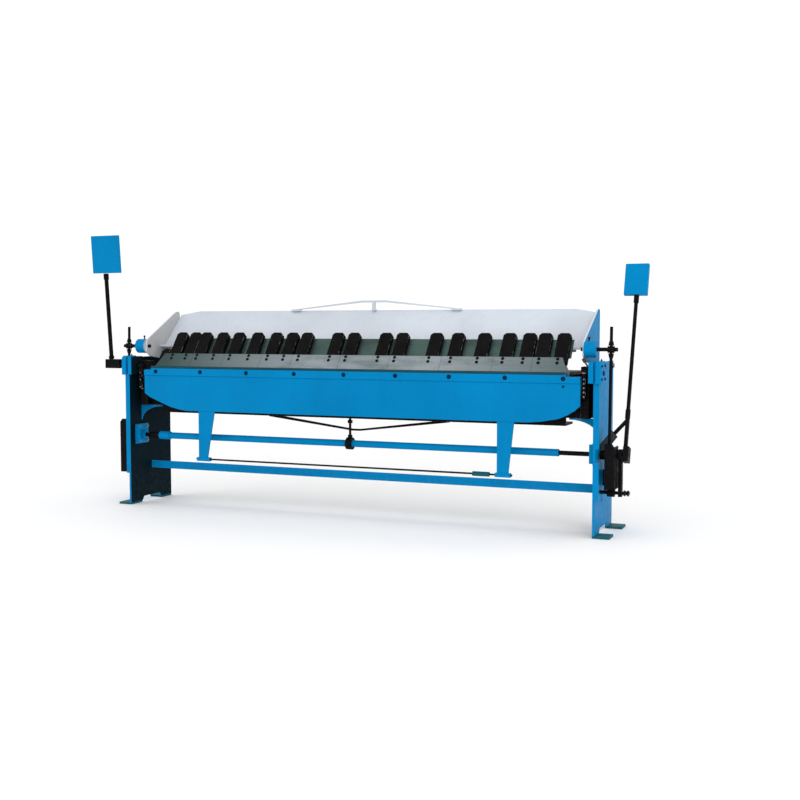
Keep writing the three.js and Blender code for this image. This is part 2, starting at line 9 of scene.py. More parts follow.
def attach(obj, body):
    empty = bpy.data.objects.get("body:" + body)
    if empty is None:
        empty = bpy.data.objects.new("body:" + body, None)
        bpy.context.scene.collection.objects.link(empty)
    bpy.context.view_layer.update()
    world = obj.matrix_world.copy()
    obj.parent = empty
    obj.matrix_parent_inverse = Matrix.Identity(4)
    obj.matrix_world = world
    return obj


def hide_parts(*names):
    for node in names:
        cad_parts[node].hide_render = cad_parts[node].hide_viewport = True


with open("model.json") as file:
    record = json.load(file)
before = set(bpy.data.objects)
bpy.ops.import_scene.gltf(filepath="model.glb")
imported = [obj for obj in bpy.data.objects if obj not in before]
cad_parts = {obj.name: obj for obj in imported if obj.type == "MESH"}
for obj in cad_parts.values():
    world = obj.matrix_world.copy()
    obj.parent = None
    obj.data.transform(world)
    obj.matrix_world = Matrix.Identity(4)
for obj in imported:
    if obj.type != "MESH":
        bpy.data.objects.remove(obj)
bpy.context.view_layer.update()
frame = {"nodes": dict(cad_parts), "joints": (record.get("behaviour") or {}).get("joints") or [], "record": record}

# ------------------------------------------------------------------ places, from the frame
NODES = frame["nodes"]
BODIES = frame["record"]["behaviour"]["bodies"]
JOINTS = {j["name"]: j for j in frame["joints"]}
PIVOT = Vector(JOINTS["apron_swing"]["pos_m"])
TORQUE = Vector(JOINTS["clamp_lever_swing"]["pos_m"])
X_AXIS, Y_AXIS, Z_AXIS = Vector((1, 0, 0)), Vector((0, 1, 0)), Vector((0, 0, 1))
MM = 0.001
MID_X = PIVOT.x                     # plane halfway between the side frames
FRONT_Y = PIVOT.y - 46 * MM         # front plane of the side frames
FRAME_IN, FRAME_OUT = 1397, 1409    # faces of a side frame, from the middle, in mm
HOUSING_OUT = FRAME_OUT + 28        # outer face of a pivot housing
GUARD_OUT = 1500                    # outer face of a crank guard
CHEEK_OUT = 1332                    # outer face of a beam cheek
HINGE_Y, HINGE_Z = 392, 860         # the beam's hinge pins
FOOT_TOP = 12.2                     # just over the foot plates
BLOCK_FRONT = 62                    # front face of the bed blocks
SIDES = (("left", -1), ("right", 1))


def at(x, y, z):
    """A point in machine millimetres: X from the middle, Y from the frames' front, Z from the floor."""
    return Vector((MID_X + x * MM, FRONT_Y + y * MM, z * MM))


# ------------------------------------------------------------------ camera
def make_camera():
    """Camera fitted to the photograph's viewing angle."""
    data = bpy.data.cameras.new("camera")
    camera = bpy.data.objects.new("camera", data)
    bpy.context.scene.collection.objects.link(camera)
    data.sensor_width = 36.0
    data.lens = 49.79
    data.clip_end = 60.0
    camera.location = at(2636, -5456, 1061)
    azimuth, pitch = math.radians(22.725), math.radians(-3.753)
    camera.rotation_euler = (math.pi / 2 + pitch, 0.0, azimuth)
    bpy.context.scene.camera = camera


make_camera()


# ------------------------------------------------------------------ materials
class Nodes:
    """Small helper that adds and links shader nodes."""

    def __init__(self, name):
        self.material = bpy.data.materials.new(name)
        self.material.use_nodes = True
        self.tree = self.material.node_tree
        self.shader = self.tree.nodes["Principled BSDF"]

    def add(self, kind, inputs=None, **settings):
        node = self.tree.nodes.new(kind)
        for key, value in settings.items():
            setattr(node, key, value)
        for key, value in (inputs or {}).items():
            self.put(node.inputs[key], value)
        return node

    def put(self, socket, value):
        if isinstance(value, bpy.types.NodeSocket):
            self.tree.links.new(value, socket)
        else:
            socket.default_value = value

    def set(self, **values):
        for key, value in values.items():
            self.put(self.shader.inputs[key.replace("_", " ")], value)

    def place(self, scale=(1, 1, 1)):
        where = self.add("ShaderNodeTexCoord")
        mapping = self.add("ShaderNodeMapping", {"Vector": where.outputs["Object"], "Scale": scale})
        return mapping.outputs["Vector"]

    def noise(self, scale, detail=3.0, roughness=0.5, stretch=(1, 1, 1)):
        node = self.add("ShaderNodeTexNoise", {
            "Vector": self.place(stretch), "Scale": scale, "Detail": detail, "Roughness": roughness,
        })
        return node.outputs["Fac"]

    def ramp(self, value, low, high, to_low=0.0, to_high=1.0):
        node = self.add("ShaderNodeMapRange", {
            "Value": value, "From Min": low, "From Max": high, "To Min": to_low, "To Max": to_high,
        })
        return node.outputs["Result"]

    def math(self, operation, a, b=0.0):
        node = self.add("ShaderNodeMath", operation=operation)
        self.put(node.inputs[0], a)
        self.put(node.inputs[1], b)
        return node.outputs[0]

    def mix(self, factor, a, b):
        node = self.add("ShaderNodeMix", data_type="RGBA", blend_type="MIX")
        self.put(node.inputs["Factor"], factor)
        self.put(node.inputs[6], a)
        self.put(node.inputs[7], b)
        return node.outputs[2]

    def bump(self, height, distance, strength, under=None):
        node = self.add("ShaderNodeBump", {
            "Height": height, "Distance": distance, "Strength": strength,
        })
        if under is not None:
            self.put(node.inputs["Normal"], under)
        return node.outputs["Normal"]

    def edge(self):
        """1 on the faces that bevel made along the corners."""
        return self.add("ShaderNodeAttribute", attribute_name="edge").outputs["Fac"]


def rgb(r, g, b):
    return (r, g, b, 1.0)


def shade(colour, factor):
    return rgb(*(min(1.0, c * factor) for c in colour[:3]))


def paint(name, colour, rough=0.38, worn=rgb(0.10, 0.11, 0.11), coat=0.01, dust=0.05, gloss=0.02):
    """Sprayed enamel: mottled tone, orange peel, dust low down, chips along the edges."""
    n = Nodes(name)
    tone = n.ramp(n.noise(2.2, 4.0), 0.3, 0.7)
    base = n.mix(tone, shade(colour, 0.90), shade(colour, 1.08))
    streak = n.ramp(n.noise(9.0, 4.0, 0.6, (3.0, 3.0, 0.35)), 0.52, 0.78, 0.0, 0.16)
    base = n.mix(streak, base, shade(colour, 0.62))
    height = n.add("ShaderNodeSeparateXYZ", {"Vector": n.place()}).outputs["Z"]
    low = n.ramp(height, 0.0, 0.35, dust * 2.2, dust * 0.2)
    specks = n.ramp(n.noise(55.0, 5.0, 0.65), 0.45, 0.75)
    grime = n.math("MULTIPLY", low, specks)
    base = n.mix(grime, base, rgb(0.30, 0.28, 0.25))
    chips = n.ramp(n.noise(70.0, 6.0, 0.7), 0.60, 0.66)
    chipped = n.math("MULTIPLY", n.edge(), chips)
    base = n.mix(chipped, base, worn)
    n.set(Base_Color=base)
    smooth = n.ramp(n.noise(26.0, 4.0), 0.3, 0.7, rough - 0.07, rough + 0.10)
    n.set(Roughness=n.math("ADD", smooth, n.math("MULTIPLY", grime, 0.5)))
    peel = n.bump(n.noise(420.0, 2.0), 0.00010, 0.5)
    wave = n.bump(n.noise(7.0, 2.0), 0.0016, 0.22, peel)
    dent = n.bump(n.math("MULTIPLY", chipped, -1.0), 0.0003, 0.6, wave)
    n.set(Normal=dent)
    n.set(Coat_Weight=coat, Coat_Roughness=0.18, Specular_IOR_Level=gloss)
    return n.material


def ground_steel(name, colour, rough, stain=rgb(0.13, 0.17, 0.16), lines=(0.6, 260, 260), highlight_spot=()):
    """Steel ground along X, stained.

    The last argument gives a place in X (m) kept bright as a painted highlight, and how painted shade, mixed in
    like the oil film, grows away from it.
    """
    n = Nodes(name)
    grain = n.noise(3.0, 5.0, 0.6, lines)
    base = n.mix(n.ramp(grain, 0.35, 0.68), shade(colour, 0.80), shade(colour, 1.16))
    film_and_shade = n.ramp(n.noise(5.5, 5.0, 0.65, (0.6, 1.6, 1.6)), 0.45, 0.78, 0.0, 0.75)
    # Painted highlight: around the given place in X the steel stays bright, and away from it painted shade is
    # mixed in with the oil film.
    if highlight_spot:
        centre, *fade = highlight_spot
        along = n.add("ShaderNodeSeparateXYZ", {"Vector": n.place()}).outputs["X"]
        away = n.math("ABSOLUTE", n.math("SUBTRACT", along, centre))
        film_and_shade = n.math("MAXIMUM", film_and_shade, n.ramp(away, *fade))
    base = n.mix(film_and_shade, base, stain)
    spots = n.ramp(n.noise(48.0, 4.0, 0.6), 0.66, 0.74, 0.0, 0.55)
    base = n.mix(spots, base, rgb(0.10, 0.075, 0.055))
    n.set(Base_Color=base, Metallic=0.92)
    n.set(Roughness=n.math("ADD", n.ramp(grain, 0.3, 0.7, rough - 0.06, rough + 0.10),
                           n.math("MULTIPLY", film_and_shade, 0.14)))
    n.set(Normal=n.bump(grain, 0.00012, 0.7))
    return n.material


def dark_metal(name, colour, rough=0.48, metallic=0.5, cast=0.0004, gloss=0.05):
    """Black oxide or satin black on forged and turned parts, rubbed bright at the edges."""
    n = Nodes(name)
    tone = n.ramp(n.noise(12.0, 5.0, 0.6), 0.3, 0.72)
    base = n.mix(tone, shade(colour, 0.7), shade(colour, 1.7))
    dusty = n.ramp(n.noise(75.0, 5.0, 0.65), 0.58, 0.78, 0.0, 0.07)
    base = n.mix(dusty, base, rgb(0.16, 0.14, 0.13))
    rub = n.math("MULTIPLY", n.edge(), n.ramp(n.noise(40.0, 5.0, 0.7), 0.5, 0.64))
    base = n.mix(rub, base, rgb(0.26, 0.26, 0.26))
    n.set(Base_Color=base, Metallic=metallic)
    n.set(Roughness=n.ramp(n.noise(30.0, 4.0), 0.3, 0.7, rough - 0.08, rough + 0.12))
    fine = n.bump(n.noise(330.0, 3.0), 0.00014, 0.5)
    n.set(Normal=n.bump(n.noise(60.0, 3.0), cast, 0.35, fine))
    n.set(Specular_IOR_Level=gloss)
    return n.material


def make_floor_material():
    n = Nodes("floor_pale")
    n.set(Base_Color=n.mix(n.noise(1.3, 3.0), rgb(0.94, 0.94, 0.94), rgb(0.96, 0.96, 0.96)))
    n.set(Roughness=n.ramp(n.noise(20.0), 0.3, 0.7, 0.75, 0.9))
    return n.material


BLUE = paint("blue_enamel", rgb(0.0, 0.205, 0.470))
# Near-black blue for the frames' inner faces.
DARK_BLUE = paint("dark_inner_faces", rgb(0.0022, 0.0105, 0.0165), rough=0.55, coat=0.0, dust=0.03)
# Bolt heads in the machine's blue paint, darkened to near navy as painted shade.
SHADED_BOLT_BLUE = paint("blue_bolts_painted_shade", rgb(0.0010, 0.022, 0.065), dust=0.03)
# Teal: the turnbuckle's paint, and painted shade on the frames' feet.
TEAL_AND_FOOT_SHADE = paint("teal_paint", rgb(0.008, 0.095, 0.115), rough=0.42)
GREY = paint("pale_grey_enamel", rgb(0.585, 0.63, 0.69), rough=0.42,
             worn=rgb(0.25, 0.25, 0.25), dust=0.04)
# Darker copy of the beam's pale grey for the cheeks' inner faces: painted shade.
SHADED_GREY = paint("grey_enamel_painted_shade", rgb(0.46, 0.46, 0.47), rough=0.48, worn=rgb(0.2, 0.2, 0.2))
BLACK = dark_metal("satin_black", rgb(0.0036, 0.0034, 0.0040), metallic=0.0)
BLACK_CAST = dark_metal("black_cast", rgb(0.0032, 0.0032, 0.0033), rough=0.58, metallic=0.0,
                        cast=0.0009)
OXIDE = dark_metal("black_oxide", rgb(0.007, 0.007, 0.008), rough=0.42, metallic=0.3)
BRACE_GREY = dark_metal("dark_grey_steel", rgb(0.045, 0.050, 0.052), rough=0.45, gloss=0.3)
# The nose's bright middle is a painted highlight and its darker ends are painted shade, mixed in with the oil
# film's stain colour.
NOSE_STEEL = ground_steel("nose_steel", rgb(0.305, 0.345, 0.370), rough=0.34,
                          stain=rgb(0.040, 0.078, 0.076), highlight_spot=(0.2, 0.35, 1.35, 0.0, 0.95))
RAIL_STEEL = ground_steel("rail_steel", rgb(0.075, 0.125, 0.112), rough=0.46,
                          stain=rgb(0.03, 0.05, 0.045))
BED_STEEL = ground_steel("bed_steel", rgb(0.17, 0.21, 0.21), rough=0.34)
# Unpainted edge steel; its dark teal tone is painted shade under the clamping nose.
EDGE_SHADE_STEEL = ground_steel("unpainted_edge_shade", rgb(0.010, 0.075, 0.110), rough=0.45,
                          stain=rgb(0.006, 0.04, 0.06))
BRIGHT = ground_steel("bright_screw", rgb(0.26, 0.27, 0.27), rough=0.36, lines=(40, 40, 40))


# ------------------------------------------------------------------ mesh helpers
SHARP_ANGLE = math.radians(35)       # corners sharper than this keep a hard line
BEVEL_ANGLE = math.radians(32)       # corners sharper than this are rounded


def finish_mesh(name, bm, material, body, replaced=(), more=()):
    """Turns a bmesh into an object that rides on a body and stands for some CAD nodes."""
    mesh = bpy.data.meshes.new(name)
    bmesh.ops.recalc_face_normals(bm, faces=bm.faces)
    bm.to_mesh(mesh)
    bm.free()
    for face in mesh.polygons:
        face.use_smooth = True
    mesh.set_sharp_from_angle(angle=SHARP_ANGLE)
    for extra in (material, *more):
        mesh.materials.append(extra)
    piece = bpy.data.objects.new(name, mesh)
    bpy.context.scene.collection.objects.link(piece)
    even = piece.modifiers.new("even_shading", "WEIGHTED_NORMAL")
    even.keep_sharp = True
    if replaced:
        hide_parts(*replaced)
    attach(piece, body)
    return piece


def bevel(bm, width, segments=2):
    """Rounds every sharp corner and marks the new faces as worn edges."""
    layer = bm.faces.layers.float.get("edge") or bm.faces.layers.float.new("edge")
    sharp = [e for e in bm.edges if len(e.link_faces) == 2
             and e.calc_face_angle(0.0) > BEVEL_ANGLE]
    made = bmesh.ops.bevel(bm, geom=sharp, offset=width, segments=segments, profile=0.5,
                           affect="EDGES", clamp_overlap=True)
    for face in made["faces"]:
        if face.is_valid:
            face[layer] = 1.0


def from_node(node):
    """The CAD node's mesh with its flat faces made whole again."""
    bm = bmesh.new()
    bm.from_mesh(NODES[node].data)
    bmesh.ops.remove_doubles(bm, verts=bm.verts, dist=2e-6)
    bmesh.ops.dissolve_limit(bm, angle_limit=math.radians(0.5), verts=bm.verts, edges=bm.edges)
    return bm


def soften(node, material, width, more=(), choose=None, segments=2, split=None):
    """Stands for a CAD node with the same shape and rounded corners.

    choose gives each face its place in (material, *more); split cuts the faces at a height in mm.
    """
    bm = from_node(node)
    if split:
        bmesh.ops.bisect_plane(bm, geom=[*bm.verts, *bm.edges, *bm.faces],
                               plane_co=Z_AXIS * split * MM, plane_no=Z_AXIS)
    bevel(bm, width * MM, segments)
    if choose:
        for face in bm.faces:
            face.material_index = choose(face)
    body = next(b for b, names in BODIES.items() if node in names)
    return finish_mesh(f"{node}_skin", bm, material, body, [node], more=more)


def basis(direction):
    """Rotation that takes Z to direction."""
    return Z_AXIS.rotation_difference(direction.normalized()).to_matrix().to_4x4()


def close_rings(bm, rings):
    """Joins rings of vertices with quads and closes both ends."""
    for a, b in zip(rings, rings[1:]):
        for i in range(len(a)):
            j = (i + 1) % len(a)
            bm.faces.new((a[i], a[j], b[j], b[i]))
    bm.faces.new(list(reversed(rings[0])))
    bm.faces.new(rings[-1])


def lathe(bm, start, direction, profile, sides):
    """Adds a turned solid: profile of (distance along direction, radius) in metres."""
    matrix = Matrix.Translation(start) @ basis(direction)
    rings = []
    for along, radius in profile:
        rings.append([bm.verts.new(matrix @ Vector((
            radius * math.cos(2 * math.pi * i / sides),
            radius * math.sin(2 * math.pi * i / sides), along))) for i in range(sides)])
    close_rings(bm, rings)


def rounded_rod(bm, start, end, radius, chamfer=1.0 * MM, sides=40):
    length = (end - start).length
    lathe(bm, start, end - start, [
        (0.0, radius - chamfer), (chamfer * 0.3, radius - chamfer * 0.3), (chamfer, radius),
        (length - chamfer, radius), (length - chamfer * 0.3, radius - chamfer * 0.3),
        (length, radius - chamfer),
    ], sides)


def hexagon_head(bm, centre, direction, across, height, washer=True, turn=0.0):
    """Hexagon head with a chamfered crown on a washer, standing on centre."""
    seat = 0.0
    if washer:
        seat = across * 0.12
        lathe(bm, centre, direction, [
            (0.0, across * 0.92), (seat * 0.8, across * 0.92), (seat, across * 0.88)], 32)
    matrix = Matrix.Translation(centre) @ basis(direction) @ Matrix.Rotation(turn, 4, "Z")
    corner = across / math.sqrt(3)
    levels = [(seat, corner), (seat + height * 0.82, corner), (seat + height, corner * 0.86)]
    rings = [[bm.verts.new(matrix @ Vector((
        r * math.cos(math.pi * i / 3), r * math.sin(math.pi * i / 3), z))) for i in range(6)]
        for z, r in levels]
    close_rings(bm, rings)


def socket_head(bm, centre, direction, radius, height, depth, turn=0.0):
    """Cap screw head with a hexagon socket sunk in it."""
    sides = 24
    matrix = Matrix.Translation(centre) @ basis(direction) @ Matrix.Rotation(turn, 4, "Z")

    def ring(r, z, hexagonal=False):
        points = []
        for i in range(sides):
            angle = 2 * math.pi * i / sides
            reach = r
            if hexagonal:
                part = (angle + math.pi / 6) % (math.pi / 3) - math.pi / 6
                reach = r / math.cos(part)
            points.append(bm.verts.new(matrix @ Vector((reach * math.cos(angle),
                                                        reach * math.sin(angle), z))))
        return points

    socket = radius * 0.48
    close_rings(bm, [ring(radius, 0.0), ring(radius, height * 0.85), ring(radius * 0.9, height),
                     ring(socket, height, True), ring(socket, height - depth, True)])


def bridge(bm, start, end, width):
    """Solid between two outlines with the same number of points, its corners rounded."""
    low = [bm.verts.new(p) for p in start]
    high = [bm.verts.new(p) for p in end]
    bm.faces.new(low)
    bm.faces.new(list(reversed(high)))
    for i in range(len(low)):
        j = (i + 1) % len(low)
        bm.faces.new((low[j], low[i], high[i], high[j]))
    bmesh.ops.recalc_face_normals(bm, faces=bm.faces)
    bevel(bm, width)


def plate(bm, points, direction, width):
    """Adds an outline extruded along direction; it is rounded apart from what bm already holds."""
    alone = bmesh.new()
    bridge(alone, points, [p + direction for p in points], width)
    mesh = bpy.data.meshes.new("part")
    alone.to_mesh(mesh)
    alone.free()
    bm.from_mesh(mesh)
    bpy.data.meshes.remove(mesh)


def group(name, material, body, build, replaced=()):
    """One piece made by a function that draws into a fresh bmesh."""
    bm = bmesh.new()
    build(bm)
    return finish_mesh(name, bm, material, body, replaced)


# ------------------------------------------------------------------ stand
def frame_skin(side, sign):
    """Blue outside, near-black blue on the inner faces, and teal on the feet as painted shade."""
    def choose(face):
        # Faces of the feet take teal as painted shade.
        if face.calc_center_median().z < FOOT_TOP * MM:
            return 2
        return 1 if face.normal.x * sign < -0.9 else 0

    soften(f"{side}_side_frame", BLUE, 1.3, (DARK_BLUE, TEAL_AND_FOOT_SHADE), choose, split=FOOT_TOP)


def housing_bolts(bm, sign):
    """Four screws on the outer face of a pivot housing and a grease cup on its top."""
    for y, z in ((0, 802), (78, 802), (2, 868), (76, 868)):
        socket_head(bm, at(sign * HOUSING_OUT, y, z), X_AXIS * sign, 6 * MM, 5 * MM, 3 * MM)
    lathe(bm, at(sign * (HOUSING_OUT - 14), 60, 892.5), Z_AXIS, [
        (0.0, 5 * MM), (4 * MM, 5 * MM), (5 * MM, 3 * MM), (9 * MM, 3 * MM), (11 * MM, 1.5 * MM)], 20)


def bearing_bolts(bm, sign):
    """Four bolts through the shaft bearing's flange, inside the frame."""
    for y in (72, 152):
        for z in (378, 464):
            hexagon_head(bm, at(sign * (FRAME_IN - 12), y, z), -X_AXIS * sign, 12 * MM, 7 * MM)


def left_block_bolts(bm):
    """Three bolts down the front of the left bed block."""
    for z in (700, 743, 786):
        hexagon_head(bm, at(-1350, BLOCK_FRONT, z), -Y_AXIS, 10 * MM, 5 * MM, turn=z * 0.01)


def right_block_screws(bm):
    """Close column of jacking screws low on the front of the right bed block."""
    for z in (614, 636, 658, 680):
        socket_head(bm, at(1342, BLOCK_FRONT, z), -Y_AXIS, 6 * MM, 3 * MM, 2 * MM)


def block_handle(bm):
    """Small locking lever leaning inward on top of the right bed block."""
    foot, tip = at(1352, 72, 861.5), at(1324, 72, 903)
    rounded_rod(bm, foot, tip, 4.5 * MM, 1 * MM, 20)
    rounded_rod(bm, foot.lerp(tip, 0.55), tip, 7.5 * MM, 2 * MM, 24)


def guard_screws(bm, sign):
    """Four screws on the outside of a crank guard; the left guard is the taller one."""
    top = 440 if sign > 0 else 480
    for y, z in ((70, 270), (70, 370), (168, 290), (96, top)):
        hexagon_head(bm, at(sign * GUARD_OUT, y, z), X_AXIS * sign, 9 * MM, 4 * MM)


def pin_caps(bm, sign):
    """Washer and retaining ring on the outer end of a beam hinge pin."""
    for start, thick, radius in ((0.4, 1.6, 17), (2.4, 1.6, 14)):
        lathe(bm, at(sign * (FRAME_OUT + start), HINGE_Y, HINGE_Z), X_AXIS * sign, [
            (0.0, radius * MM), (thick * 0.8 * MM, radius * MM), (thick * MM, (radius - 0.8) * MM)], 40)


def tie_rail_bolts(bm, sign):
    """Two bolts through the frame into the end of the low tie rail."""
    for z in (212, 236):
        hexagon_head(bm, at(sign * FRAME_OUT, 231, z), X_AXIS * sign, 13 * MM, 7 * MM)


def gusset_bolts(bm, sign):
    """Small bolts along the gusset's top edge."""
    for x in (1286, 1304, 1374):
        hexagon_head(bm, at(sign * x, 112, 592), -Y_AXIS, 6 * MM, 4 * MM, washer=False)


def hinge_pin(bm, sign):
    rounded_rod(bm, at(sign * 1314, HINGE_Y, HINGE_Z),
                at(sign * (FRAME_OUT + 10), HINGE_Y, HINGE_Z), 12 * MM)


def build_stand():
    for side, sign in SIDES:
        frame_skin(side, sign)
        soften(f"{side}_pivot_housing", BLUE, 3.0, segments=3)
        soften(f"{side}_shaft_bearing", BLUE, 1.6)
        soften(f"{side}_crank_guard", BLACK, 0.9)
        soften(f"{side}_bed_block", BLACK_CAST, 2.0)
        soften(f"{side}_bed_gusset", BLUE, 1.2)
        group(f"{side}_housing_screws", OXIDE, "stand", lambda bm: housing_bolts(bm, sign))
        group(f"{side}_bearing_bolts", BRIGHT, "stand", lambda bm: bearing_bolts(bm, sign))
        group(f"{side}_guard_screws", OXIDE, "stand", lambda bm: guard_screws(bm, sign))
        group(f"{side}_hinge_caps", OXIDE, "stand", lambda bm: pin_caps(bm, sign))
        group(f"{side}_rail_bolts", OXIDE, "stand", lambda bm: tie_rail_bolts(bm, sign))
        group(f"{side}_gusset_bolts", BRIGHT, "stand", lambda bm: gusset_bolts(bm, sign))
        group(f"{side}_hinge_pin", BRIGHT, "stand", lambda bm: hinge_pin(bm, sign),
              [f"{side}_beam_hinge_pin"])
    group("left_block_bolts", BRIGHT, "stand", left_block_bolts)
    group("right_block_screws", OXIDE, "stand", right_block_screws)
    group("right_block_handle", BRACE_GREY, "stand", block_handle)
    soften("outboard_bearing", BLACK, 1.0)
    soften("bed_beam", BLACK, 1.5)
    soften("bed_edge_bar", BED_STEEL, 0.8)
    soften("bed_truss_rod", BLACK, 0.9)
    soften("torque_hanger", BLACK, 0.9)
    soften("tie_rail", BLUE, 0.9)


# ------------------------------------------------------------------ bending apron
BAR_BOLTS = [12 + i * 307 for i in range(-4, 5)]
SHADE_STRIP_LOW = 820                      # lower line of the unpainted strip, whose dark teal tone is painted shade under the nose, height in mm
SHADE_STRIP_HALF = 1100                    # the painted shade strip ends inside this distance from the middle
PIVOT_ARM_X, PIVOT_ARM_FRONT = 1341, 31
TIE_Y, TIE_Z = 22, 295              # thin rod between the apron's legs
ARM_X, ARM_LEAN = -1557, -4.5       # counterweight arm: from the middle (mm), degrees back
LEVER_X, LEVER_LEAN = 1535, 17.5    # clamp lever, likewise


def shaded_bare_edge(face):
    """The working edge of bar and plate is unpainted steel; its dark teal tone is painted shade under the nose."""
    middle = abs(face.calc_center_median().x - MID_X) < SHADE_STRIP_HALF * MM
    return 1 if middle and face.calc_center_median().z > SHADE_STRIP_LOW * MM else 0


def bar_bolts(bm):
    """Bolts along the bending bar, and one set screw near the apron's right end."""
    for i, x in enumerate(BAR_BOLTS):
        hexagon_head(bm, at(x, 7, 802), -Y_AXIS, 13 * MM, 4 * MM, turn=0.4 * i)
    socket_head(bm, at(1240, 11, 762), -Y_AXIS, 6 * MM, 3 * MM, 2 * MM)


def right_arm_screws(bm):
    """Gib strip and adjusting screws on the front of the right pivot arm."""
    corners = ((1331, 28.8), (1349, 28.8), (1349, 30.8), (1331, 30.8))
    plate(bm, [at(x, y, 829) for x, y in corners], Z_AXIS * 5 * MM, 0.5 * MM)
    for z in (712, 734, 756, 778, 800):
        socket_head(bm, at(PIVOT_ARM_X, PIVOT_ARM_FRONT, z), -Y_AXIS, 4.5 * MM, 2.5 * MM, 1.6 * MM)


def left_arm_bolts(bm):
    """Three small bolts down the front of the left pivot arm."""
    for z in (708, 750, 792):
        hexagon_head(bm, at(-PIVOT_ARM_X, PIVOT_ARM_FRONT, z), -Y_AXIS, 7 * MM, 3 * MM,
                     washer=False, turn=z * 0.01)


def leaned(pivot, lean, x, y, height):
    """Point on a leaning arm: x from the middle, y in front or behind, height up the arm (mm)."""
    turn = Matrix.Rotation(-math.radians(lean), 4, "X")
    return Vector((MID_X + x * MM, pivot.y, pivot.z)) + turn @ Vector((0, y * MM, height * MM))


def build_apron():
    soften("apron_plate", BLUE, 1.5, (EDGE_SHADE_STEEL,), shaded_bare_edge, split=SHADE_STRIP_LOW)
    soften("bending_bar", BLUE, 0.9, (EDGE_SHADE_STEEL,), shaded_bare_edge, split=SHADE_STRIP_LOW)
    soften("apron_stiffener", BLUE, 1.0)
    for side in ("left", "right"):
        soften(f"{side}_apron_leg", BLUE, 1.2)
    soften("left_apron_shaft", BLACK, 1.4)
    soften("right_apron_shaft", BLACK, 1.4)
    group("right_arm_screws", BRIGHT, "apron", right_arm_screws)
    group("left_arm_bolts", BRIGHT, "apron", left_arm_bolts)
    group("bar_bolts", SHADED_BOLT_BLUE, "apron", bar_bolts)
    for side, x0, x1 in (("left", -948, 795), ("right", 808, 972)):
        group(f"{side}_tie_rod_round", OXIDE, "apron", lambda bm: rounded_rod(
            bm, at(x0, TIE_Y, TIE_Z), at(x1, TIE_Y, TIE_Z), 5 * MM, 0.8 * MM, 24), [f"{side}_tie_rod"])
    soften("turnbuckle", TEAL_AND_FOOT_SHADE, 1.5, segments=3)

    def arm(bm):
        def up(height):
            return leaned(PIVOT, ARM_LEAN, ARM_X, 0, height)

        rounded_rod(bm, up(39.5), up(552), 12 * MM)
        rounded_rod(bm, up(40.5), up(58), 16 * MM, 2 * MM)
        rounded_rod(bm, up(516), up(551.5), 15.5 * MM, 2 * MM)

    group("apron_weight_bar", BLACK, "apron", arm, ["apron_weight_arm"])
    soften("apron_weight", BLUE, 2.0, segments=3)


# ------------------------------------------------------------------ clamping beam
TRUNNION_Y, TRUNNION_Z = 92.5, 950
SLOPE = math.radians(54)            # the fingers' front above the level
UP_SLOPE = Vector((0, math.cos(SLOPE), math.sin(SLOPE)))
OUT_SLOPE = Vector((0, -math.sin(SLOPE), math.cos(SLOPE)))
NOSE_LENGTH = 92
END_TRIM = 37                       # the end noses' outer corners are cut back by this
SEAT_LOW, SEAT_DEPTH = 60.4, -29.6  # foot of the holders' seat: up the slope and into it
SEAT_THICK = 28
LINE_LEFT = -1250                   # left end of the finger line
RAIL_LEFT = -1190                   # left end of the rail behind it
FINGERS = [                         # width, then where its two holders stand, in mm
    (237, 105, 200), (213, 38, 153), (250, 50, 175), (200, 50, 155), (300, 50, 245),
    (300, 45, 240), (300, 40, 240), (290, 65, 215), (215, 65, 175), (195, 45, 145),
]


def on_slope(x, s, n):
    """Point on the fingers' front: x from the middle, s up the slope, n out of its face (mm)."""
    return at(x, 50, 833) + UP_SLOPE * s * MM + OUT_SLOPE * n * MM


def nose(bm, x0, x1, trim_left, trim_right):
    """Hardened nose with a fine tip resting on the bed; a trim slants an end in at the top."""
    tip = [on_slope(0, 0, 0), at(0, 102, 833)]
    top = [on_slope(0, NOSE_LENGTH, -20), on_slope(0, NOSE_LENGTH, 0)]

    def end(x, trim):
        return [p + X_AXIS * x * MM for p in tip] + [p + X_AXIS * (x - trim) * MM for p in top]

    bridge(bm, end(x0, -trim_left), end(x1, trim_right), 0.7 * MM)


def seat_block(bm, outline):
    """Black block on the fingers' seat, from an outline of (x, up the slope)."""
    plate(bm, [on_slope(x, s, SEAT_DEPTH) for x, s in outline], OUT_SLOPE * SEAT_THICK * MM, 1.2 * MM)


def holder(bm, x):
    """Black clamp block behind the nose, its top corners cut off."""
    half, cut, low, high = 36.6, 14, SEAT_LOW, 247.6
    seat_block(bm, [(x - half, low), (x + half, low), (x + half, high - cut), (x + half - cut, high),
                    (x - half + cut, high), (x - half, high - cut)])


def rail_bar():
    """The rail behind the fingers; its left end is cut back behind a black stop block."""
    bm = from_node("finger_rail")
    cut = bmesh.ops.bisect_plane(bm, geom=[*bm.verts, *bm.edges, *bm.faces],
                                 plane_co=at(RAIL_LEFT, 0, 0), plane_no=X_AXIS, clear_inner=True)
    open_edges = [e for e in cut["geom_cut"] if isinstance(e, bmesh.types.BMEdge)]
    bmesh.ops.edgeloop_fill(bm, edges=open_edges)
    bevel(bm, 0.8 * MM)
    finish_mesh("finger_rail_skin", bm, RAIL_STEEL, "clamp_beam", ["finger_rail"])


def rail_stop(bm):
    """Low black block that closes the rail's left end."""
    seat_block(bm, [(-1244, SEAT_LOW), (RAIL_LEFT, SEAT_LOW), (RAIL_LEFT, 128), (-1226, 128),
                    (-1244, 112)])


